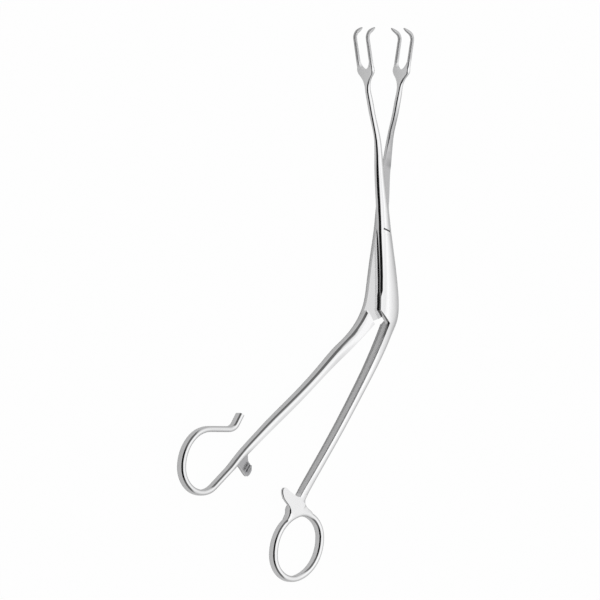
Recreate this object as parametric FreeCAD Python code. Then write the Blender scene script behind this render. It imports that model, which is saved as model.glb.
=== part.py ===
import FreeCAD, Part
import math
import os

# Tonsil grasping forceps: two crossed blades on one screw.
# Millimetres. The pivot axis is Z, +Y runs to the jaws, and z = 0 is the underside of the joint.
# Each blade is drawn with the jaws closed and then turned about the pivot to its resting place.

vector = FreeCAD.Vector

# Resting places of the blades, turned from closed
front_open = 4.75
back_open = -5.75

# Joint
blade_t = 2.6  # thickness of each blade at the pivot
lap_play = 0.02  # gap between the two lap faces
mid_z = blade_t + lap_play / 2
half_t = blade_t + lap_play / 2
lap_top_y = 34.0  # upper end of the flat lap faces
relief_y = 9.0  # where the arms start to thin above the pivot

crown_steps = 8  # flats across each crowned face

# Screw
shank_r = 1.1
head_r = 1.55
head_rim = 0.25  # straight rim above the countersink
screw_play = 0.03  # running clearance in the front blade
slot_w = 0.6
slot_depth = 0.55
slot_turn = -21.0

# Arms
arm_r = 1.05  # half width of the round part
palm_t = 1.5  # thickness of the flat part below the prongs
palm_half = 4.2  # half width of the flat part across the prongs
palm_top_y = 59.4

# Prongs
prong_gap = 5.3  # clear width of the U between the two prongs
prong_base_r = 0.74
prong_r = 0.68
front_bend_y = 67.6  # where the hooks begin
back_bend_y = 67.1
front_lean = 1.1  # outward lean from the palm to the bend
back_lean = 0.93
hook_r = 2.8
hook_turn = 70.0
tip_r = 0.34
prong_sides = 12
tip_parting = 0.41  # how far left of the pivot line the closed tips meet
tip_gap = 0.04  # half the gap kept there

# Handles
root_t = 4.9  # thickness of the handle below the joint
end_t = 3.8  # thickness of the handle at the finger ring
reach_z = 2.5 * root_t  # half height of the cutters
grind = 0.4  # stock on the inner side of a handle, ground away to its flat face

# Closed finger ring
ring_w = 2.1
ring_t = 3.6
ring_long = 12.3  # long half axis of the ring's centre line, an oval of four arcs
ring_short = 9.6
ring_end_r = 8.2
ring_x = -48.48
ring_y = -107.35
ring_tilt = 49.0

# Open finger ring
hook_w = 2.1
hook_t = 3.8
hook_x = -61.7
hook_y = -90.8
hook_heading = 44.6  # degrees from -Y towards -X
# Runs of the open ring from there: length and 0, or radius and turn in degrees
hook_runs = [(9.4, 0), (8.8, 131), (14.2, 49), (11.9, 40), (8.4, 0), (4.1, -57.5), (3.9, 0)]

# Ratchet
ratchet_r = 103.5  # distance of the teeth from the pivot
ratchet_t = 1.2  # thickness of the plates that carry the teeth
ratchet_play = 0.06  # clearance of each row of tooth tips from the middle plane
tooth_pitch = 1.1
tooth_depth = 0.55
tooth_long = 2.9
tooth_count = 3
lug_bearing = 29.7  # first tooth of the front half, measured about the pivot from -Y towards -X
stub_bearing = 30.0
neck_edge = 0.35

# Shapes of the cross section: wall share and pull of each side.
# The wall share is the straight part of the side, and the pull is how flat the face leaves it.
round_style = (0.15, 0.15, 0.0, 0.0)
lap_style = (0.64, 0.64, 0.3, 0.3)
arm_style = (0.35, 0.35, 0.12, 0.12)
palm_style = (0.86, 0.86, 0.0, 0.0)
inner_left_style = (0.92, 0.4, 0.42, 0.0)
inner_right_style = (0.4, 0.92, 0.0, 0.42)
ring_style = (0.4, 0.4, 0.0, 0.0)


def lerp(a, b, t):
    return a + (b - a) * t


def blend_style(a, b, t):
    return tuple(lerp(p, q, t) for p, q in zip(a, b))


def beside_ring(points):
    """Plan points given from the middle of the closed ring."""
    return [(ring_x + x, ring_y + y) for x, y in points]


def closed_polygon(points):
    return Part.makePolygon(points + [points[0]])


def section(left, right, low, high, style):
    """Closed outline across a blade, between two plan points, from low to high about the middle plane."""
    wall_left, wall_right, pull_left, pull_right = style
    middle = (low + high) / 2
    reach = (high - low) / 2
    left_wall = reach * wall_left
    right_wall = reach * wall_right
    crest = (8 * reach - left_wall - right_wall) / 6

    def crown(t, sign):
        """Point of a cubic curve from the left wall to the right wall."""
        shares = (0, pull_left, 1 - pull_right, 1)
        heights = (left_wall, crest, crest, right_wall)
        weights = ((1 - t) ** 3, 3 * t * (1 - t) ** 2, 3 * t ** 2 * (1 - t), t ** 3)
        share = sum(w * s for w, s in zip(weights, shares))
        height = sum(w * h for w, h in zip(weights, heights))
        x = lerp(left[0], right[0], share)
        y = lerp(left[1], right[1], share)
        return vector(x, y, mid_z + middle + sign * height)

    top = [crown(i / crown_steps, 1) for i in range(crown_steps + 1)]
    bottom = [crown(1 - i / crown_steps, -1) for i in range(crown_steps + 1)]
    return closed_polygon(top + bottom)


def level(y, left, right, low, high, style):
    return section((left, y), (right, y), low, high, style)


def crossing(x, y, heading, width, thickness, style):
    """Section centred on a point of a run that goes down-left at a heading from the -Y axis."""
    turn = math.radians(heading)
    across = (math.cos(turn), -math.sin(turn))
    left = (x - across[0] * width / 2, y - across[1] * width / 2)
    right = (x + across[0] * width / 2, y + across[1] * width / 2)
    return section(left, right, -thickness / 2, thickness / 2, style)


def handle_section(inner, heading, width, thickness, side, style):
    """Section of a handle at a point of its ground inner face; side is +1 where that face is on the left."""
    turn = math.radians(heading)
    across = (math.cos(turn) * side, -math.sin(turn) * side)
    stock = (inner[0] - across[0] * grind, inner[1] - across[1] * grind)
    outer = (inner[0] + across[0] * width, inner[1] + across[1] * width)
    ends = (stock, outer) if side > 0 else (outer, stock)
    return section(ends[0], ends[1], -thickness / 2, thickness / 2, style)


def headings(points):
    """Heading of the run at each point, from the -Y axis towards -X, unwrapped."""
    found = []
    for i in range(len(points)):
        a = points[max(i - 1, 0)]
        b = points[min(i + 1, len(points) - 1)]
        turn = math.degrees(math.atan2(-(b[0] - a[0]), -(b[1] - a[1])))
        while found and turn < found[-1] - 180:
            turn += 360
        found.append(turn)
    return found


def bent_bar(wire, x, y, heading, runs):
    """Pieces of a bar with one section, along straight runs and arcs; a positive turn is clockwise."""
    face = Part.Face(wire)
    point = vector(x, y, mid_z)
    pieces = []
    for size, turn in runs:
        angle = math.radians(heading)
        if turn == 0:
            step = vector(-math.sin(angle), -math.cos(angle), 0) * size
            pieces.append(face.extrude(step))
            face.translate(step)
            point = point + step
            continue
        way = math.copysign(1, turn)
        centre = point + vector(-math.cos(angle), math.sin(angle), 0) * size * way
        pieces.append(face.revolve(centre, vector(0, 0, -way), abs(turn)))
        face.rotate(centre, vector(0, 0, -way), abs(turn))
        point = centre + FreeCAD.Rotation(vector(0, 0, -way), abs(turn)).multVec(point - centre)
        heading += turn
    return pieces


def prism(points, low, high):
    corners = [vector(x, y, low) for x, y in points]
    return Part.Face(closed_polygon(corners)).extrude(vector(0, 0, high - low))


def plate(curve, corners, low, high):
    """Upright plate with one smooth side, closed by straight lines through the corner points."""
    side = Part.BSplineCurve()
    side.interpolate([vector(x, y, low) for x, y in curve])
    rest = [vector(x, y, low) for x, y in [curve[-1]] + corners + [curve[0]]]
    outline = Part.Wire([side.toShape()] + Part.makePolygon(rest).Edges)
    return Part.Face(outline).extrude(vector(0, 0, high - low))


def arm_sections(middles, sign):
    """Sections of one jaw arm, from the palm down; sign is +1 where the arm lies in the front half."""
    rows = [
        (palm_top_y, palm_t * 0.3, palm_half - 0.35, palm_half - 0.35, palm_style),
        (57.4, palm_t / 2, palm_half, palm_half, palm_style),
        (55.6, palm_t / 2, palm_half - 0.2, palm_half - 0.2, palm_style),
        (54.2, palm_t / 2, palm_half * 0.68, palm_half * 0.68, blend_style(palm_style, round_style, 0.25)),
        (52.7, palm_t / 2 + 0.05, palm_half * 0.42, palm_half * 0.42, blend_style(palm_style, round_style, 0.6)),
        (51.0, arm_r * 0.82, arm_r * 1.1, arm_r * 1.1, round_style),
        (49.0, arm_r * 0.9, arm_r * 0.95, arm_r * 0.95, round_style),
        (46.0, arm_r, arm_r, arm_r, round_style),
        (42.5, arm_r, arm_r * 0.95, arm_r * 1.05, round_style),
        (39.0, arm_r, arm_r * 0.66, arm_r * 1.25, round_style),
        (35.5, arm_r * 1.03, arm_r * 0.22, arm_r * 1.6, round_style),
        (32.0, arm_r * 1.1, arm_r * 0.1, arm_r * 1.85, blend_style(round_style, arm_style, 0.5)),
        (28.2, arm_r * 1.2, arm_r * 0.5, arm_r * 1.95, arm_style),
        (24.7, arm_r * 1.38, arm_r * 0.8, arm_r * 2.0, arm_style),
        (21.2, arm_r * 1.55, arm_r * 1.2, arm_r * 2.1, arm_style),
    ]
    wires = []
    for (y, half, back, front, style), x in zip(rows, middles):
        low, high = (-back, front) if sign > 0 else (-front, back)
        wires.append(level(y, x - half, x + half, low, high, style))
    return wires


def lap_sections(rows):
    """Sections through the joint from rows of height, left edge, right edge, thinned above relief_y."""
    wires = []
    for y, left, right in rows:
        thin = 0.25 if y > relief_y else 0.0
        style = blend_style(lap_style, arm_style, 0.5) if y > relief_y else lap_style
        wires.append(level(y, left, right, -half_t + thin, half_t - thin, style))
    return wires


def prong(x, z, side, lean, bend_y):
    """One prong from inside the palm to its hook tip; side is +1 where the hook points to +X."""
    base = vector(x, palm_top_y - 2.8, z)
    bend = vector(x - side * lean, bend_y, z)
    along = (bend - base).normalize()
    inward = vector(along.y * side, -along.x * side, 0)
    centre = bend + inward * hook_r
    turn = FreeCAD.Rotation(vector(0, 0, 1), -side * hook_turn)
    out = turn.multVec(along)
    start = centre + turn.multVec(bend - centre)
    length = (side * (-tip_parting) - side * start.x - tip_gap - tip_r) / (side * out.x)

    def flats(middle, across, radius):
        points = []
        for i in range(prong_sides):
            angle = 2 * math.pi * i / prong_sides
            points.append(middle + across * (radius * math.cos(angle)) + vector(0, 0, radius * math.sin(angle)))
        return closed_polygon(points)

    bent = turn.multVec(inward)
    stalk = Part.makeLoft([flats(base, inward, prong_base_r), flats(bend, inward, prong_r)], True, True)
    elbow = Part.Face(flats(bend, inward, prong_r)).revolve(centre, vector(0, 0, -side), hook_turn)
    hook = Part.makeLoft([
        flats(start, bent, prong_r),
        flats(start + out * (length * 0.5), bent, prong_r * 0.85),
        flats(start + out * length, bent, tip_r),
        flats(start + out * (length + tip_r * 0.8), bent, tip_r * 0.5),
    ], True, True)
    return stalk.fuse([elbow, hook])


def fork(x, side, lean, bend_y):
    """The U cut at the top of the palm, and its two prongs."""
    cut = Part.makeCylinder(prong_gap / 2, 10, vector(x - 5, palm_top_y, mid_z), vector(1, 0, 0))
    offset = (palm_half + prong_gap / 2) / 2
    return cut, [prong(x, mid_z + k * offset, side, lean, bend_y) for k in (-1, 1)]


def toothed(curve, corners, bearing, sign):
    """Ratchet plate of one blade; sign is +1 in the front half, whose teeth point to the back."""
    face = mid_z + sign * (ratchet_play + tooth_depth)
    low = min(face, face + sign * ratchet_t)
    body = plate(curve, corners, low, low + ratchet_t)
    teeth = []
    for i in range(tooth_count):
        turn = math.radians(bearing) + i * tooth_pitch / ratchet_r
        out = vector(-math.sin(turn), -math.cos(turn), 0)
        side = vector(out.y, -out.x, 0)
        start = out * (ratchet_r - tooth_long / 2)
        foot = start + vector(0, 0, face + sign * 0.1)
        corners_z = [
            foot - side * tooth_pitch * 0.45,
            foot + side * tooth_pitch * 0.45,
            start - side * tooth_pitch * 0.3 * sign + vector(0, 0, face - sign * tooth_depth),
        ]
        saw = Part.Face(closed_polygon(corners_z))
        teeth.append(saw.extrude(out * tooth_long))
    outline = plate(curve, corners, 0, 2 * mid_z)
    return body.fuse(teeth).common(outline)


def front_blade():
    middles = [-3.24, -3.0, -2.92, -2.87, -2.8, -2.72, -2.6, -2.1, -1.65, -1.25, -0.85, -0.5, -0.35, -0.35, -0.4]
    wires = arm_sections(middles, 1)
    wires += lap_sections([
        (15.0, -2.25, 1.6), (relief_y, -2.35, 1.95), (3.0, -2.5, 2.25), (-4.0, -2.75, 2.75),
        (-11.0, -3.05, 3.35), (-17.0, -3.4, 3.75), (-22.0, -3.85, 3.95), (-27.0, -4.4, 3.8),
    ])
    root = [
        ((-4.95, -30.2), (2.95, -31.5), 0.15, half_t),
        ((-5.5, -33.4), (0.9, -35.5), 0.4, root_t / 2 + 0.1),
        ((-6.4, -36.9), (-1.35, -39.0), 0.8, root_t / 2 + 0.05),
        ((-7.8, -40.5), (-3.5, -42.1), 1.0, root_t / 2),
    ]
    for left, right, share, reach in root:
        wires.append(section(left, right, -reach, reach, blend_style(lap_style, inner_left_style, share)))
    start, end = (-9.95, -45.7), beside_ring([(4.28, 20.15)])[0]
    shares = [(0, 0), (0.203, 0.223), (0.515, 0.541), (0.8476, 0.8576), (1, 1)]
    inner = [(lerp(start[0], end[0], a), lerp(start[1], end[1], b)) for a, b in shares]
    widths = [2.95, 2.6, 2.45, 2.45, 2.65]
    turns = headings(inner)
    for i, (point, width, turn) in enumerate(zip(inner, widths, turns)):
        t = lerp(root_t, end_t, i / (len(inner) - 1))
        wires.append(handle_section(point, turn, width, t, 1, inner_left_style))
    flared = [
        ((1.18, 17.75), (4.78, 16.35), end_t / 2, blend_style(inner_left_style, ring_style, 0.5)),
        ((-0.72, 14.95), (3.58, 14.35), ring_t * 0.46, ring_style),
        ((-2.42, 11.75), (4.28, 11.15), ring_t * 0.43, ring_style),
    ]
    for left, right, reach, style in flared:
        left, right = beside_ring([left, right])
        wires.append(section(left, right, -reach, reach, style))
    stock = Part.makeLoft(wires, True, False, False)

    lap = prism([(-20, lap_top_y), (20, lap_top_y), (20, -29.2), (3.6, -30.6), (0.0, -32.0),
                 (-1.3, -33.0), (-20, -33.0)], mid_z - reach_z, mid_z + lap_play / 2)
    flat = plate([(-1.45, -32.7)] + inner + beside_ring([(0.88, 16.05)]),
                 beside_ring([(-2.02, 18.35)]) + [(-20.0, -52.0), (-9.5, -28.0), (-4.45, -27.9)],
                 -reach_z, reach_z)
    cut, prongs = fork(middles[1], 1, front_lean, front_bend_y)
    body = stock.cut(lap).cut(flat).cut(cut)

    bore = Part.makeCylinder(shank_r + screw_play, 4 * blade_t, vector(0, 0, -blade_t))
    body = body.cut(bore).cut(screw_head(screw_play, 1.0))

    lug_side = beside_ring([(2.48, 17.35), (0.48, 17.45), (-1.02, 18.35), (-3.22, 19.95), (-4.82, 21.05),
                            (-5.72, 20.55), (-6.02, 18.95), (-5.32, 16.95), (-3.92, 15.15), (-3.02, 13.55),
                            (-2.92, 12.05)])
    lug = toothed(lug_side, beside_ring([(2.48, 12.35)]), lug_bearing, 1)
    left = beside_ring([(2.68, 18.25), (0.28, 16.05), (-1.92, 14.75), (-2.92, 13.35), (-3.12, 12.05),
                        (-4.12, 10.35), (-5.02, 8.95)])
    right = beside_ring([(8.88, 9.45), (6.38, 11.95), (4.78, 13.35), (4.08, 14.85), (4.38, 16.45),
                         (5.18, 17.85)])
    left_end = beside_ring([(-1.52, 6.35), (8.48, 6.35), (3.98, 19.05)])
    right_end = beside_ring([(3.48, 21.35), (-7.52, 21.35), (-7.52, 5.35), (10.48, 5.35)])
    neck = plate(left, left_end, mid_z - ring_t / 2, mid_z + ring_t / 2)
    neck = neck.common(plate(right, right_end, -reach_z, reach_z))
    rims = [e for e in neck.Edges if abs(e.BoundBox.ZLength) < 0.01 and "BSpline" in str(e.Curve)]
    neck = neck.makeChamfer(neck_edge, rims)

    ring, core = finger_ring()
    body = body.fuse([lug, neck]).cut(core).fuse([ring] + prongs)
    return turned(body.removeSplitter(), front_open), turned(stock, front_open)


def finger_ring():
    """The closed ring as a bar around an oval of four arcs, and a core inside its centre line."""
    end_reach = ring_long - ring_end_r
    side_r = (end_reach ** 2 + ring_short ** 2 - ring_end_r ** 2) / (ring_short - ring_end_r) / 2
    spread = math.degrees(math.atan2(side_r - ring_short, end_reach))
    tilt = math.radians(ring_tilt)
    joint = tilt - math.radians(spread)
    end_centre = (ring_x + math.cos(tilt) * end_reach, ring_y + math.sin(tilt) * end_reach)
    x = end_centre[0] + math.cos(joint) * ring_end_r
    y = end_centre[1] + math.sin(joint) * ring_end_r
    heading = 180 - math.degrees(joint)
    runs = [(ring_end_r, -2 * spread), (side_r, 2 * spread - 180)] * 2
    wire = crossing(x, y, heading, ring_w, ring_t, ring_style)
    bars = bent_bar(wire, x, y, heading, runs)

    edges = []
    for quarter in range(4):
        turn = tilt + quarter * math.pi / 2
        at_end = quarter % 2 == 0
        reach = end_reach if at_end else ring_short - side_r
        radius = ring_end_r if at_end else side_r
        half = math.radians(spread if at_end else 90 - spread)
        middle = vector(ring_x + math.cos(turn) * reach, ring_y + math.sin(turn) * reach, mid_z - reach_z)
        circle = Part.Circle(middle, vector(0, 0, 1), radius)
        edges.append(Part.ArcOfCircle(circle, turn - half, turn + half).toShape())
    core = Part.Face(Part.Wire(edges)).extrude(vector(0, 0, 2 * reach_z))
    return bars[0].fuse(bars[1:]), core


def screw_head(grow, above):
    """Countersunk head, grown by the running clearance for its seat."""
    top = mid_z + half_t
    rim = Part.makeCylinder(head_r + grow, head_rim + above, vector(0, 0, top - head_rim))
    taper = head_r - shank_r
    cone = Part.makeCone(shank_r + grow, head_r + grow, taper, vector(0, 0, top - head_rim - taper))
    return rim.fuse(cone)


def back_blade():
    middles = [3.24, 3.02, 3.02, 2.95, 2.87, 2.82, 2.75, 2.35, 1.95, 1.57, 1.2, 0.9, 0.5, 0.2, -0.12]
    wires = arm_sections(middles, -1)
    wires += lap_sections([
        (15.0, -1.95, 1.75), (relief_y, -2.4, 2.05), (3.0, -2.55, 2.2), (-4.0, -2.95, 2.5),
        (-11.0, -3.6, 2.8), (-17.0, -3.98, 3.0), (-22.0, -4.25, 3.1), (-26.0, -4.75, 3.1),
    ])
    root = [
        ((-6.2, -30.2), (2.4, -31.9), 0.15, half_t),
        ((-8.9, -34.7), (-1.4, -38.4), 0.4, root_t / 2 + 0.1),
        ((-12.9, -39.2), (-7.6, -43.2), 0.8, root_t / 2 + 0.05),
    ]
    for left, right, share, reach in root:
        wires.append(section(left, right, -reach, reach, blend_style(lap_style, inner_right_style, share)))
    inner = [(-15.3, -46.4), (-20.64, -51.47), (-32.3, -63.2), (-44.89, -75.08), (-50.2, -80.3)]
    widths = [3.5, 2.95, 2.75, 2.75, 2.65]
    hook = [(-56.0, -84.3), (-58.9, -87.6), (hook_x, hook_y)]
    turns = headings(inner + hook)
    turns[-1] = hook_heading
    for i, (point, width) in enumerate(zip(inner, widths)):
        t = lerp(root_t, end_t, i / (len(inner) - 1))
        wires.append(handle_section(point, turns[i], width, t, -1, inner_right_style))
    for i, (x, y) in enumerate(hook):
        share = (i + 1) / len(hook)
        style = blend_style(inner_right_style, ring_style, share)
        width = lerp(widths[-1], hook_w, share)
        wires.append(crossing(x, y, turns[len(inner) + i], width, lerp(end_t, hook_t, share), style))
    stock = Part.makeLoft(wires, True, False, False)

    lap = prism([(-20, lap_top_y), (20, lap_top_y), (20, -36), (-2.5, -36), (-2.3, -33.5), (-3.06, -32.6),
                 (-5.3, -29.0), (-20, -27.0)], mid_z - lap_play / 2, mid_z + reach_z)
    flat = plate([(-2.6, -33.7)] + inner[:-1] + [(-54.2, -84.2)],
                 [(-52.0, -86.4), (-20.0, -58.0), (12, -44), (12, -28.0), (3.4, -29.9), (2.0, -30.9),
                  (-1.2, -32.2)], -reach_z, reach_z)
    cut, prongs = fork(middles[1], -1, back_lean, back_bend_y)
    body = stock.cut(lap).cut(flat).cut(cut)

    body = body.cut(Part.makeCylinder(shank_r, 4 * blade_t, vector(0, 0, -blade_t)))

    stub = toothed([(-53.9, -82.9), (-52.9, -85.2), (-52.5, -86.9), (-51.5, -87.9), (-50.7, -89.4),
                    (-51.1, -90.9), (-52.6, -92.2), (-53.7, -91.6), (-55.6, -89.8), (-58.6, -88.3)],
                   [(-58.8, -87.9), (-54.9, -82.9)], stub_bearing, -1)
    bars = bent_bar(wires[-1], hook_x, hook_y, hook_heading, hook_runs)
    body = body.fuse(bars[0].fuse(bars[1:])).fuse([stub] + prongs)
    return turned(body.removeSplitter(), back_open), turned(stock, back_open)


def pivot_screw(front_stock, back_stock):
    """Slotted screw, ground flush with the crowned faces of the two blades."""
    top = mid_z + half_t
    shank = Part.makeCylinder(shank_r, mid_z, vector(0, 0, 0)).common(back_stock)
    upper = Part.makeCylinder(shank_r, half_t - head_rim, vector(0, 0, mid_z)).fuse(screw_head(0, 0))
    screw = shank.fuse(upper.common(front_stock)).removeSplitter()
    slot = Part.makeBox(4 * head_r, slot_w, slot_depth + 1, vector(-2 * head_r, -slot_w / 2, top - slot_depth))
    slot.rotate(vector(0, 0, 0), vector(0, 0, 1), slot_turn)
    return screw.cut(slot)


def turned(shape, degrees):
    shape.rotate(vector(0, 0, 0), vector(0, 0, 1), degrees)
    return shape


front, front_stock = front_blade()
back, back_stock = back_blade()
screw = pivot_screw(front_stock, back_stock)

os.makedirs("parts", exist_ok=True)
for name, shape in (("front_blade", front), ("back_blade", back), ("pivot_screw", screw)):
    shape.exportStep("parts/" + name + ".step")
    box = shape.BoundBox
    print(name, "solids", len(shape.Solids), "valid", shape.isValid(), "volume", round(shape.Volume, 1),
          "box", [round(v, 2) for v in (box.XMin, box.YMin, box.ZMin, box.XMax, box.YMax, box.ZMax)])
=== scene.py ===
import math

import bpy
from mathutils import Matrix, Vector


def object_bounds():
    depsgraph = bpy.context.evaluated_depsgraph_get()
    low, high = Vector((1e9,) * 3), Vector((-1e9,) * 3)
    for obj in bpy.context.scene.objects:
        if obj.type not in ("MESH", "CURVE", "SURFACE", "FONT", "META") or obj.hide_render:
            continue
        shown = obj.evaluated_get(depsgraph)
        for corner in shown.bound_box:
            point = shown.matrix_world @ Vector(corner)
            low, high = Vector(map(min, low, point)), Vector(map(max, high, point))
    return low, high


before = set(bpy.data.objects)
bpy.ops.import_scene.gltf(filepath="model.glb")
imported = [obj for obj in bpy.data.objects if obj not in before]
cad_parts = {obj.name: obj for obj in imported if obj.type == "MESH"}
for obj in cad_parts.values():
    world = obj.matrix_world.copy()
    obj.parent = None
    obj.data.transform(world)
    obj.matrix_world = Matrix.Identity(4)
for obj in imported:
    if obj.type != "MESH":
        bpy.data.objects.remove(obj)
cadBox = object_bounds()
scene = bpy.context.scene
floorHeight = cadBox[0][2]
middleHeight = 0.00261       # metres, the plane between the two laps
upwards = (0.0, 0.0, 1.0)
towardsJaws = (0.0, 1.0, 0.0)
print("frame loaded")


# Camera, in metres and degrees

cameraView = {
    "lean": 40.0,            # from straight above, towards the left of the picture
    "pictureWidth": 0.2106,
    "aimRight": -0.02899,    # from the pivot to the picture's centre, along the picture
    "aimUp": -0.02457,
    "distance": 0.6,
    "nearest": 0.01,
    "farthest": 20,
}


def addCamera(view):
    lean = math.radians(view["lean"])
    right = Vector((math.cos(lean), 0, math.sin(lean)))
    up = Vector((0, 1, 0))
    back = right.cross(up)
    aim = Vector((0, 0, middleHeight)) + right * view["aimRight"] + up * view["aimUp"]
    cameraData = bpy.data.cameras.new("camera")
    cameraData.type = "ORTHO"
    cameraData.ortho_scale = view["pictureWidth"]
    cameraData.clip_start = view["nearest"]
    cameraData.clip_end = view["farthest"]
    camera = bpy.data.objects.new("camera", cameraData)
    scene.collection.objects.link(camera)
    turn = Matrix((right, up, back)).transposed().to_4x4()
    camera.matrix_world = Matrix.Translation(aim + back * view["distance"]) @ turn
    scene.camera = camera


addCamera(cameraView)
print("camera placed")


# Small helpers for node trees

def addNode(tree, kind, x, y, **settings):
    node = tree.nodes.new(kind)
    node.location = (x, y)
    for name, value in settings.items():
        setattr(node, name, value)
    return node


def mathNode(tree, operation, x, y, first, second=None, clamp=False):
    node = addNode(tree, "ShaderNodeMath", x, y, operation=operation, use_clamp=clamp)
    for socket, value in zip(node.inputs, (first, second)):
        if value is None:
            continue
        if isinstance(value, (int, float)):
            socket.default_value = value
        else:
            tree.links.new(value, socket)
    return node.outputs[0]


mixSockets = {"share": 0, "first": 6, "second": 7, "result": 2}  # of a Mix node that mixes colours


def mixColour(tree, x, y, share, first, second):
    node = addNode(tree, "ShaderNodeMix", x, y, data_type="RGBA")
    for name, value in (("share", share), ("first", first), ("second", second)):
        socket = node.inputs[mixSockets[name]]
        if isinstance(value, (int, float, tuple)):
            socket.default_value = value
        else:
            tree.links.new(value, socket)
    return node.outputs[mixSockets["result"]]


def mapRange(tree, x, y, value, low, high, outLow, outHigh, smooth=True):
    node = addNode(tree, "ShaderNodeMapRange", x, y)
    node.interpolation_type = "SMOOTHSTEP" if smooth else "LINEAR"
    tree.links.new(value, node.inputs["Value"])
    for name, number in (("From Min", low), ("From Max", high), ("To Min", outLow), ("To Max", outHigh)):
        node.inputs[name].default_value = number
    return node.outputs["Result"]


def newGroup(name, inputs, outputs):
    group = bpy.data.node_groups.new(name, "ShaderNodeTree")
    for socketName, kind, value in inputs:
        socket = group.interface.new_socket(socketName, in_out="INPUT", socket_type=kind)
        socket.default_value = value
    for socketName, kind in outputs:
        group.interface.new_socket(socketName, in_out="OUTPUT", socket_type=kind)
    source = addNode(group, "NodeGroupInput", -900, 0)
    target = addNode(group, "NodeGroupOutput", 900, 0)
    return group, source.outputs, target.inputs


def placeGroup(tree, group, x, y, **values):
    node = addNode(tree, "ShaderNodeGroup", x, y, node_tree=group)
    for name, value in values.items():
        node.inputs[name].default_value = value
    return node


# Studio round the object: a white dome with a dark gap low on the left

studio = {
    "domeLean": 8.0,         # degrees from straight above to the dome's middle, towards the right
    "domeTones": [           # degrees from the dome's middle, and tone
        (0, 0.95), (8, 0.97), (15, 1.04), (26, 1.04),
        (32, 0.96), (52, 0.78), (70, 0.58), (84, 0.44),
    ],
    "gapEdge": (33, 43),     # degrees from the dome's middle over which the gap begins
    "gapWidth": (0.0, 0.3),  # sideways share of the direction over which the gap ends on the right
    "gapTone": 0.008,
    "gapEnds": (0.45, 0.8),  # lengthways share of the direction over which it turns to the end tone
    "gapEndTone": 0.16,
}


def addStudio(look):
    world = bpy.data.worlds.new("studio")
    world.use_nodes = True
    scene.world = world
    tree = world.node_tree
    tree.nodes.clear()
    place = addNode(tree, "ShaderNodeTexCoord", -1400, 0)
    lean = math.radians(look["domeLean"])
    towards = addNode(tree, "ShaderNodeVectorMath", -1200, 0, operation="DOT_PRODUCT")
    tree.links.new(place.outputs["Generated"], towards.inputs[0])
    towards.inputs[1].default_value = (math.sin(lean), 0, math.cos(lean))
    apart = mathNode(tree, "ARCCOSINE", -1000, 0, towards.outputs["Value"])
    share = mathNode(tree, "DIVIDE", -800, 100, apart, math.pi)
    ramp = addNode(tree, "ShaderNodeValToRGB", -600, 100)
    tree.links.new(share, ramp.inputs["Fac"])
    stops = ramp.color_ramp.elements
    while len(stops) < len(look["domeTones"]):
        stops.new(0.5)           # the loop below gives each stop its place
    for stop, (angle, tone) in zip(stops, look["domeTones"]):
        stop.position = angle / 180
        stop.color = (tone, tone, tone, 1)
    split = addNode(tree, "ShaderNodeSeparateXYZ", -1200, -250)
    tree.links.new(place.outputs["Generated"], split.inputs[0])
    low = mapRange(tree, -800, -200, apart, *(math.radians(angle) for angle in look["gapEdge"]), 0, 1)
    onLeft = mapRange(tree, -800, -450, split.outputs["X"], *look["gapWidth"], 1, 0)
    gap = mathNode(tree, "MULTIPLY", -550, -300, low, onLeft)
    reach = mathNode(tree, "ABSOLUTE", -1000, -650, split.outputs["Y"])
    gapTone = mapRange(tree, -800, -650, reach, *look["gapEnds"], look["gapTone"], look["gapEndTone"])
    around = mixColour(tree, -300, 0, gap, ramp.outputs["Color"], gapTone)
    light = addNode(tree, "ShaderNodeLightPath", -300, 300)
    seen = mixColour(tree, -50, 0, light.outputs["Is Camera Ray"], around, (1, 1, 1, 1))
    background = addNode(tree, "ShaderNodeBackground", 150, 0)
    tree.links.new(seen, background.inputs["Color"])
    output = addNode(tree, "ShaderNodeOutputWorld", 350, 0)
    tree.links.new(background.outputs[0], output.inputs["Surface"])


addStudio(studio)

lamp = {
    "lean": 21.0,            # degrees from straight above, towards the right
    "forward": 0.15,         # towards the jaws, beside a length of 1 along the lean
    "distance": 0.9,
    "width": 0.36,
    "power": 0.04,
}


def addLamp(settings):
    data = bpy.data.lights.new("softLamp", "AREA")
    data.shape = "SQUARE"
    data.size = settings["width"]
    data.energy = settings["power"]
    light = bpy.data.objects.new("softLamp", data)
    lean = math.radians(settings["lean"])
    towards = Vector((math.sin(lean), settings["forward"], math.cos(lean))).normalized()
    light.location = towards * settings["distance"]
    light.rotation_euler = towards.to_track_quat("Z", "Y").to_euler()
    scene.collection.objects.link(light)


addLamp(lamp)
print("studio and lamp set")


# Floor

floorLook = {
    "width": 4.0,
    "colour": (0.86, 0.86, 0.86, 1),
    "whiteToCamera": 0.98,   # share of plain white that the camera sees, the rest keeps the shadow
    "toneInMetal": 0.58,     # floor as the steel shows it
    "shareInMetal": 0.7,
}


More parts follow.
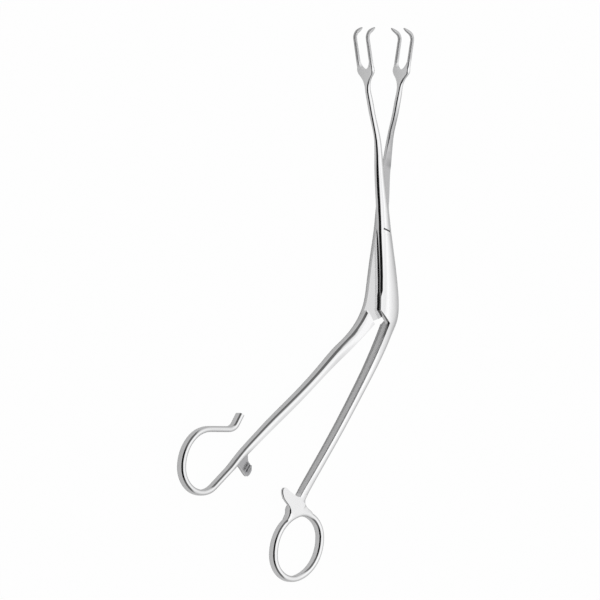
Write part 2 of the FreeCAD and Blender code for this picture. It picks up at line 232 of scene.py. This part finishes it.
def addFloor(look):
    half = look["width"] / 2
    mesh = bpy.data.meshes.new("floor")
    corners = [(-half, -half, 0), (half, -half, 0), (half, half, 0), (-half, half, 0)]
    mesh.from_pydata(corners, [], [(0, 1, 2, 3)])
    floor = bpy.data.objects.new("floor", mesh)
    floor.location.z = floorHeight
    scene.collection.objects.link(floor)
    material = bpy.data.materials.new("paleFloor")
    material.use_nodes = True
    tree = material.node_tree
    tree.nodes.clear()
    card = addNode(tree, "ShaderNodeBsdfDiffuse", -200, 100)
    card.inputs["Color"].default_value = look["colour"]
    path = addNode(tree, "ShaderNodeLightPath", -800, 300)
    mirrored = mathNode(tree, "MAXIMUM", -600, 200, path.outputs["Is Glossy Ray"],
                        path.outputs["Is Transmission Ray"])
    white = mathNode(tree, "MULTIPLY", -400, 300, path.outputs["Is Camera Ray"], look["whiteToCamera"])
    mirror = mathNode(tree, "MULTIPLY", -400, 150, mirrored, look["shareInMetal"])
    share = mathNode(tree, "MAXIMUM", -200, 300, white, mirror)
    tone = mapRange(tree, -400, -50, mirrored, 0, 1, 1, look["toneInMetal"], smooth=False)
    glow = addNode(tree, "ShaderNodeEmission", -200, -50)
    tree.links.new(tone, glow.inputs["Strength"])
    mix = addNode(tree, "ShaderNodeMixShader", 50, 100)
    tree.links.new(share, mix.inputs[0])
    tree.links.new(card.outputs[0], mix.inputs[1])
    tree.links.new(glow.outputs[0], mix.inputs[2])
    output = addNode(tree, "ShaderNodeOutputMaterial", 250, 100)
    tree.links.new(mix.outputs[0], output.inputs["Surface"])
    mesh.materials.append(material)


addFloor(floorLook)
print("floor laid")


# Effects shared by the steel finishes

# Fine lines left by the polishing

lineNoise = {
    "detail": 3,
    "roughness": 0.6,
    "between": (0.3, 0.7),   # noise from no line to a full one
}


def polishLines():
    group, given, out = newGroup("polishLines", [
        ("Direction", "NodeSocketFloat", 0.0),
        ("Fineness", "NodeSocketFloat", 3000.0),
        ("Stretch", "NodeSocketFloat", 0.06),
    ], [("Lines", "NodeSocketFloat")])
    place = addNode(group, "ShaderNodeTexCoord", -700, 200)
    turn = addNode(group, "ShaderNodeVectorRotate", -500, 100, rotation_type="Z_AXIS")
    group.links.new(place.outputs["Object"], turn.inputs["Vector"])
    group.links.new(given["Direction"], turn.inputs["Angle"])
    shape = addNode(group, "ShaderNodeCombineXYZ", -500, -120)
    group.links.new(given["Stretch"], shape.inputs["X"])
    shape.inputs["Y"].default_value = 1
    group.links.new(given["Stretch"], shape.inputs["Z"])
    drawn = addNode(group, "ShaderNodeVectorMath", -300, 50, operation="MULTIPLY")
    group.links.new(turn.outputs[0], drawn.inputs[0])
    group.links.new(shape.outputs[0], drawn.inputs[1])
    noise = addNode(group, "ShaderNodeTexNoise", -100, 50)
    noise.inputs["Detail"].default_value = lineNoise["detail"]
    noise.inputs["Roughness"].default_value = lineNoise["roughness"]
    group.links.new(drawn.outputs[0], noise.inputs["Vector"])
    group.links.new(given["Fineness"], noise.inputs["Scale"])
    lines = mapRange(group, 150, 50, noise.outputs[0], *lineNoise["between"], 0, 1)
    group.links.new(lines, out["Lines"])
    return group


# Broad smudges from handling, and small specks

markNoise = {
    "smudgeDetail": 4,
    "smudgeDistortion": 0.6,
    "smudgeGain": 3.0,
    "speckDetail": 2,
    "speckFineness": 22.0,   # how many times finer the specks are than the smudges
    "speckBetween": (0.66, 0.74),
}


def handlingMarks():
    group, given, out = newGroup("handlingMarks", [
        ("Size", "NodeSocketFloat", 120.0),
        ("Clean", "NodeSocketFloat", 0.5),
    ], [("Smudge", "NodeSocketFloat"), ("Specks", "NodeSocketFloat")])
    place = addNode(group, "ShaderNodeTexCoord", -700, 0)
    broad = addNode(group, "ShaderNodeTexNoise", -450, 150)
    broad.inputs["Detail"].default_value = markNoise["smudgeDetail"]
    broad.inputs["Distortion"].default_value = markNoise["smudgeDistortion"]
    group.links.new(place.outputs["Object"], broad.inputs["Vector"])
    group.links.new(given["Size"], broad.inputs["Scale"])
    above = mathNode(group, "SUBTRACT", -200, 150, broad.outputs[0], given["Clean"])
    smudge = mathNode(group, "MULTIPLY", 0, 150, above, markNoise["smudgeGain"], clamp=True)
    group.links.new(smudge, out["Smudge"])
    finer = mathNode(group, "MULTIPLY", -600, -200, given["Size"], markNoise["speckFineness"])
    dots = addNode(group, "ShaderNodeTexNoise", -450, -150)
    dots.inputs["Detail"].default_value = markNoise["speckDetail"]
    group.links.new(place.outputs["Object"], dots.inputs["Vector"])
    group.links.new(finer, dots.inputs["Scale"])
    specks = mapRange(group, -200, -150, dots.outputs[0], *markNoise["speckBetween"], 0, 1)
    group.links.new(specks, out["Specks"])
    return group


# Edges made lighter where the normal changes within a short reach: partly rubbed wear, partly a painted
# glint

wearAndGlintSettings = {
    "samples": 6,
    "gain": 6.0,
}


def edgeWearAndGlint():
    group, given, out = newGroup("edgeWearAndGlint", [
        ("Reach", "NodeSocketFloat", 0.0002),
        ("Onset", "NodeSocketFloat", 0.02),
    ], [("WearAndGlint", "NodeSocketFloat")])
    soft = addNode(group, "ShaderNodeBevel", -500, 0, samples=wearAndGlintSettings["samples"])
    group.links.new(given["Reach"], soft.inputs["Radius"])
    surface = addNode(group, "ShaderNodeNewGeometry", -500, -200)
    agree = addNode(group, "ShaderNodeVectorMath", -300, 0, operation="DOT_PRODUCT")
    group.links.new(soft.outputs[0], agree.inputs[0])
    group.links.new(surface.outputs["Normal"], agree.inputs[1])
    change = mathNode(group, "SUBTRACT", -100, 0, 1.0, agree.outputs["Value"])
    past = mathNode(group, "SUBTRACT", 100, 0, change, given["Onset"])
    wearAndGlint = mathNode(group, "MULTIPLY", 300, 0, past, wearAndGlintSettings["gain"], clamp=True)
    group.links.new(wearAndGlint, out["WearAndGlint"])
    return group


# Faces that point one way, within two limits along a direction, with a fade at each limit: used for
# finish zones and for painted shade

def shadeAndFinishFace():
    group, given, out = newGroup("shadeAndFinishFace", [
        ("Facing", "NodeSocketVector", upwards),
        ("Nearness", "NodeSocketFloat", 0.97),
        ("Along", "NodeSocketVector", upwards),
        ("Lowest", "NodeSocketFloat", -1.0),
        ("Highest", "NodeSocketFloat", 1.0),
        ("Fade", "NodeSocketFloat", 0.00001),
    ], [("ShadeAndFinish", "NodeSocketFloat")])
    place = addNode(group, "ShaderNodeTexCoord", -700, 0)
    facing = addNode(group, "ShaderNodeVectorMath", -500, 150, operation="DOT_PRODUCT")
    group.links.new(place.outputs["Normal"], facing.inputs[0])
    group.links.new(given["Facing"], facing.inputs[1])
    flat = mathNode(group, "GREATER_THAN", -300, 150, facing.outputs["Value"])
    group.links.new(given["Nearness"], flat.node.inputs[1])
    along = addNode(group, "ShaderNodeVectorMath", -500, -150, operation="DOT_PRODUCT")
    group.links.new(place.outputs["Object"], along.inputs[0])
    group.links.new(given["Along"], along.inputs[1])
    above = mathNode(group, "SUBTRACT", -300, -50, along.outputs["Value"], given["Lowest"])
    above = mathNode(group, "DIVIDE", -200, -50, above, given["Fade"], clamp=True)
    below = mathNode(group, "SUBTRACT", -300, -250, given["Highest"], along.outputs["Value"])
    below = mathNode(group, "DIVIDE", -200, -250, below, given["Fade"], clamp=True)
    between = mathNode(group, "MULTIPLY", -100, -150, above, below)
    shadeAndFinishZone = mathNode(group, "MULTIPLY", 100, 0, flat, between)
    group.links.new(shadeAndFinishZone, out["ShadeAndFinish"])
    return group


# Upright sides whose normals tip up above the middle plane and down below it, as on a rounded bar

def rolledSides():
    group, given, out = newGroup("rolledSides", [
        ("Middle", "NodeSocketFloat", middleHeight),
        ("Reach", "NodeSocketFloat", 0.0015),
        ("Turn", "NodeSocketFloat", 0.6),
        ("Highest", "NodeSocketFloat", 0.05),  # how far towards the jaws the sides are rounded
    ], [("Normal", "NodeSocketVector")])
    place = addNode(group, "ShaderNodeTexCoord", -800, 200)
    split = addNode(group, "ShaderNodeSeparateXYZ", -650, 200)
    group.links.new(place.outputs["Object"], split.inputs[0])
    surface = addNode(group, "ShaderNodeNewGeometry", -800, -200)
    facing = addNode(group, "ShaderNodeSeparateXYZ", -650, -200)
    group.links.new(surface.outputs["Normal"], facing.inputs[0])
    height = mathNode(group, "SUBTRACT", -500, 200, split.outputs["Z"], given["Middle"])
    height = mathNode(group, "DIVIDE", -400, 200, height, given["Reach"])
    height = mathNode(group, "MINIMUM", -300, 200, height, 1.0)
    height = mathNode(group, "MAXIMUM", -200, 200, height, -1.0)
    size = mathNode(group, "ABSOLUTE", -100, 300, height)
    bend = mathNode(group, "MULTIPLY", 0, 200, height, size)
    upright = mathNode(group, "ABSOLUTE", -500, -200, facing.outputs["Z"])
    side = mathNode(group, "SUBTRACT", -400, -200, 1.0, upright)
    below = mathNode(group, "LESS_THAN", -400, 50, split.outputs["Y"], given["Highest"])
    turn = bend
    for x, factor in ((100, given["Turn"]), (200, side), (300, below)):
        turn = mathNode(group, "MULTIPLY", x, 0, turn, factor)
    lift = addNode(group, "ShaderNodeCombineXYZ", 400, 0)
    group.links.new(turn, lift.inputs["Z"])
    rolled = addNode(group, "ShaderNodeVectorMath", 500, 0, operation="ADD")
    group.links.new(surface.outputs["Normal"], rolled.inputs[0])
    group.links.new(lift.outputs[0], rolled.inputs[1])
    even = addNode(group, "ShaderNodeVectorMath", 650, 0, operation="NORMALIZE")
    group.links.new(rolled.outputs[0], even.inputs[0])
    group.links.new(even.outputs[0], out["Normal"])
    return group


linesGroup = polishLines()
marksGroup = handlingMarks()
wearAndGlintGroup = edgeWearAndGlint()
shadeAndFinishGroup = shadeAndFinishFace()
rolledGroup = rolledSides()
print("shared effects made")


# Steel finishes, one for each piece

def steelFinish(name, look):
    material = bpy.data.materials.new(name)
    material.use_nodes = True
    tree = material.node_tree
    shader = tree.nodes["Principled BSDF"]
    shader.inputs["Metallic"].default_value = 1.0
    lines = placeGroup(tree, linesGroup, -1300, 100, Direction=math.radians(look["lineDirection"]),
                       Fineness=look["lineFineness"], Stretch=look["lineStretch"])
    marks = placeGroup(tree, marksGroup, -1300, -100, Size=look["markSize"], Clean=look["markClean"])
    wearAndGlint = placeGroup(tree, wearAndGlintGroup, -1300, -300, Reach=look["edgeReach"], Onset=look["edgeOnset"])
    colour = mixColour(tree, -1000, 300, marks.outputs["Smudge"], look["steel"], look["handled"])
    dots = mathNode(tree, "MULTIPLY", -1000, 150, marks.outputs["Specks"], look["speckDepth"])
    colour = mixColour(tree, -800, 300, dots, colour, look["speck"])
    roughness = mathNode(tree, "MULTIPLY_ADD", -1000, 0, lines.outputs["Lines"], look["lineRoughness"])
    roughness.node.inputs[2].default_value = look["roughness"]
    smudged = mathNode(tree, "MULTIPLY_ADD", -800, 0, marks.outputs["Smudge"], look["markRoughness"])
    tree.links.new(roughness, smudged.node.inputs[2])
    roughness = smudged
    # finish zones and painted shade, each mixed into the colour and the roughness
    for i, face in enumerate(look["shadeAndFinishFaces"]):
        shadeAndFinishZone = placeGroup(tree, shadeAndFinishGroup, -800, -300 - 250 * i, Facing=face["facing"],
                            Nearness=face["nearness"], Along=face["along"],
                            Lowest=face["between"][0], Highest=face["between"][1],
                            Fade=face.get("fade", look["sharpFade"]))
        colour = mixColour(tree, -600 + 150 * i, 300, shadeAndFinishZone.outputs["ShadeAndFinish"], colour, face["colour"])
        satin = mathNode(tree, "MULTIPLY_ADD", -600 + 150 * i, 0, shadeAndFinishZone.outputs["ShadeAndFinish"], face["satin"])
        tree.links.new(roughness, satin.node.inputs[2])
        roughness = satin
    # lighter edges: partly rubbed wear, partly a painted glint
    colour = mixColour(tree, -200, 300, wearAndGlint.outputs["WearAndGlint"], colour, look["wornAndGlinting"])
    tree.links.new(colour, shader.inputs["Base Color"])
    tree.links.new(roughness, shader.inputs["Roughness"])
    bump = addNode(tree, "ShaderNodeBump", -400, -250)
    bump.inputs["Strength"].default_value = look["bumpStrength"]
    bump.inputs["Distance"].default_value = look["bumpDepth"]
    tree.links.new(lines.outputs["Lines"], bump.inputs["Height"])
    rolled = placeGroup(tree, rolledGroup, -600, -450, Turn=look["sideRoll"])
    tree.links.new(rolled.outputs["Normal"], bump.inputs["Normal"])
    tree.links.new(bump.outputs[0], shader.inputs["Normal"])
    return material


bladeSteel = {
    "steel": (0.88, 0.88, 0.885, 1),
    "handled": (0.84, 0.84, 0.845, 1),
    "speck": (0.6, 0.6, 0.61, 1),
    # edge colour: partly rubbed wear, partly a painted glint
    "wornAndGlinting": (0.9, 0.905, 0.91, 1),
    "speckDepth": 0.2,
    "roughness": 0.07,
    "lineDirection": 0.0,    # degrees
    "lineFineness": 2600.0,
    "lineStretch": 0.08,     # the smaller, the longer the lines
    "lineRoughness": 0.03,
    "markSize": 90.0,        # the larger, the smaller the marks
    "markClean": 0.52,       # the larger, the fewer the marks
    "markRoughness": 0.06,
    "edgeReach": 0.00015,    # metres
    "edgeOnset": 0.03,
    "sideRoll": 0.6,         # how far the upright sides round over towards their edges
    "bumpStrength": 0.03,
    "bumpDepth": 0.00001,
    "sharpFade": 0.00001,    # metres over which each finish zone and painted shade ends, where it has no fade of its own
}

# Finish zones and painted shade: the way the faces face, how nearly, and their two limits in metres along
# a direction.
# Satin is added to the roughness.

everyFace = -1.1             # a nearness that any face reaches
forkFinish = {
    "facing": upwards, "nearness": everyFace, "along": towardsJaws, "between": (0.049, 1.0),
    "fade": 0.003, "colour": (0.96, 0.96, 0.965, 1), "satin": 0.1,
}
prongFinish = {
    "facing": upwards, "nearness": everyFace, "along": towardsJaws, "between": (0.0565, 1.0),
    "fade": 0.004, "colour": (0.8, 0.8, 0.805, 1), "satin": 0.4,
}
# painted shade: the front handle's inner side faces get a darker colour
innerHandleShade = {
    "facing": (-0.78, 0.626, 0.0), "nearness": 0.95, "along": towardsJaws, "between": (-0.0925, -0.02),
    "colour": (0.74, 0.74, 0.745, 1), "satin": 0.2,
}
# painted shade: the back lap's face, where the front blade lies over it, gets a darker colour
lapFaceShade = {
    "facing": upwards, "nearness": 0.99, "along": upwards, "between": (0.00255, 0.00263),
    "colour": (0.74, 0.74, 0.745, 1), "satin": 0.03,
}
# painted shade: the back arms' upward faces beside and under the front blade get a darker colour
upperLapShade = {
    "facing": upwards, "nearness": 0.5, "along": towardsJaws, "between": (0.002, 0.046),
    "fade": 0.008, "colour": (0.5, 0.5, 0.505, 1), "satin": 0.08,
}
# painted shade: the ratchet teeth, sunk below the lap face, get a darker colour
ratchetTeethShade = {
    "facing": upwards, "nearness": 0.3, "along": upwards, "between": (0.0018, 0.00254),
    "colour": (0.42, 0.42, 0.43, 1), "satin": 0.2,
}
# painted shade: the slot in the screw head is nearly black
screwSlotShade = {
    "facing": upwards, "nearness": -0.5, "along": upwards, "between": (0.004, 0.00478),
    "colour": (0.1, 0.1, 0.105, 1), "satin": 0.3,
}
frontLook = dict(
    bladeSteel,
    shadeAndFinishFaces=[innerHandleShade, forkFinish, prongFinish],
)
backLook = dict(
    bladeSteel,
    steel=(0.83, 0.83, 0.835, 1),
    handled=(0.79, 0.79, 0.795, 1),
    markSize=75.0,
    lineDirection=6.0,
    shadeAndFinishFaces=[lapFaceShade, upperLapShade, ratchetTeethShade, forkFinish, prongFinish],
)
screwLook = dict(
    bladeSteel,
    roughness=0.1,
    lineDirection=-21.0,
    lineStretch=0.15,
    edgeReach=0.00008,
    speckDepth=0.4,
    shadeAndFinishFaces=[screwSlotShade],
)
finishes = {
    "front_blade": steelFinish("frontBladeSteel", frontLook),
    "back_blade": steelFinish("backBladeSteel", backLook),
    "pivot_screw": steelFinish("screwSteel", screwLook),
}


# Even polish over the crowned faces

shading = {
    "mergeReach": 0.000002,  # metres between points that become one
    "keepEdgesOver": 64.0,   # degrees between faces at an edge that stays crisp
    "flatWeight": 53,        # 50 is even, and more lets large faces set the shading of their edges
}


def polishGroup(settings):
    group = bpy.data.node_groups.new("evenPolish", "GeometryNodeTree")
    group.is_modifier = True
    group.interface.new_socket("Geometry", in_out="INPUT", socket_type="NodeSocketGeometry")
    group.interface.new_socket("Geometry", in_out="OUTPUT", socket_type="NodeSocketGeometry")
    source = addNode(group, "NodeGroupInput", -600, 0)
    merge = addNode(group, "GeometryNodeMergeByDistance", -400, 0)
    merge.inputs["Distance"].default_value = settings["mergeReach"]
    group.links.new(source.outputs[0], merge.inputs["Geometry"])
    angle = addNode(group, "GeometryNodeInputMeshEdgeAngle", -400, -200)
    crisp = addNode(group, "FunctionNodeCompare", -200, -200, data_type="FLOAT", operation="GREATER_THAN")
    group.links.new(angle.outputs["Unsigned Angle"], crisp.inputs["A"])
    crisp.inputs["B"].default_value = math.radians(settings["keepEdgesOver"])
    normal = addNode(group, "GeometryNodeSetMeshNormal", 0, 0, mode="SHARPNESS")
    group.links.new(merge.outputs[0], normal.inputs[0])
    normal.inputs["Remove Custom"].default_value = True
    group.links.new(crisp.outputs[0], normal.inputs["Edge Sharpness"])
    normal.inputs["Face Sharpness"].default_value = False
    target = addNode(group, "NodeGroupOutput", 250, 0)
    group.links.new(normal.outputs[0], target.inputs[0])
    return group


evenPolish = polishGroup(shading)
for name, finish in finishes.items():
    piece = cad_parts[name]
    for materialSlot in piece.material_slots:
        materialSlot.material = finish
    modifier = piece.modifiers.new("evenPolish", "NODES")
    modifier.node_group = evenPolish
    weighted = piece.modifiers.new("flatFaces", "WEIGHTED_NORMAL")
    weighted.keep_sharp = True
    weighted.weight = shading["flatWeight"]
print("steel on", len(finishes), "pieces")


# View settings

scene.view_settings.view_transform = "Standard"
